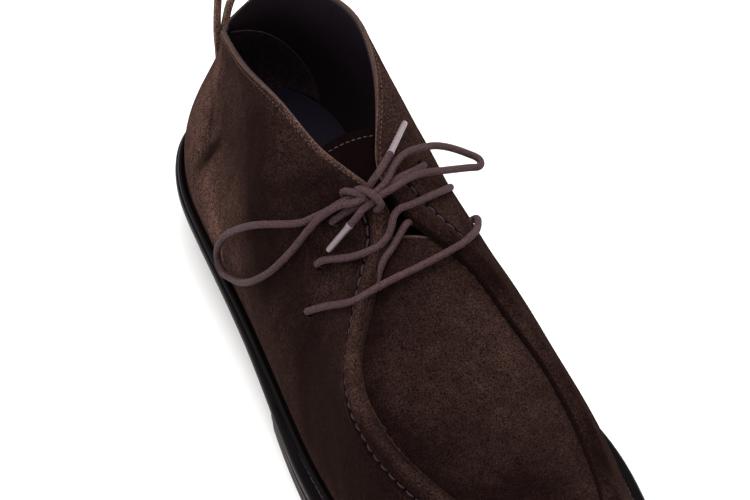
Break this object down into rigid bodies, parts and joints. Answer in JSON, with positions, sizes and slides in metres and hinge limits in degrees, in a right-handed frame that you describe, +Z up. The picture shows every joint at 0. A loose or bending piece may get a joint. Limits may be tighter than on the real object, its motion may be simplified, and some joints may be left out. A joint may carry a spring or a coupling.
{
  "type": "derby shoe",
  "caption": "Ankle-high right derby shoe in dark brown suede with a raised stitched apron, open facings, round waxed lace tied in a bow, heel pull loop, storm welt and rubber sole.",
  "frame": {"origin": "on the floor, at the middle of the sole's length and width", "axes": "+Z up, +Y towards the heel and -Y towards the toe, +X towards the inner (medial) side of the right foot"},
  "size_m": [0.1016, 0.305, 0.1168],
  "materials": {
    "suede": "dark brown suede with a soft brushed nap",
    "lining": "smooth dark aubergine lining leather with a low sheen",
    "rubber": "near-black satin rubber",
    "tread": "dark brown matte rubber",
    "lace": "braided waxed cotton, mauve-brown",
    "tip": "clear-wrapped lace tip"
  },
  "bodies": {
    "root": {"welt": "rubber", "midsole": "tread", "outsole": "tread", "forefoot_tread": "tread", "heel": "rubber", "insole": "lining", "upper": "suede", "tongue": "suede", "pull_loop": "suede", "lace_bar_low": "lace", "lace_bar_middle": "lace", "lace_inner_strand": "lace", "lace_left_strand": "lace", "lace_right_strand": "lace", "lace_left_loop": "lace", "lace_right_loop": "lace", "lace_left_end": "lace", "lace_right_end": "lace", "lace_left_tip": "tip", "lace_right_tip": "tip", "lace_knot": "lace"}
  },
  "joints": []
}
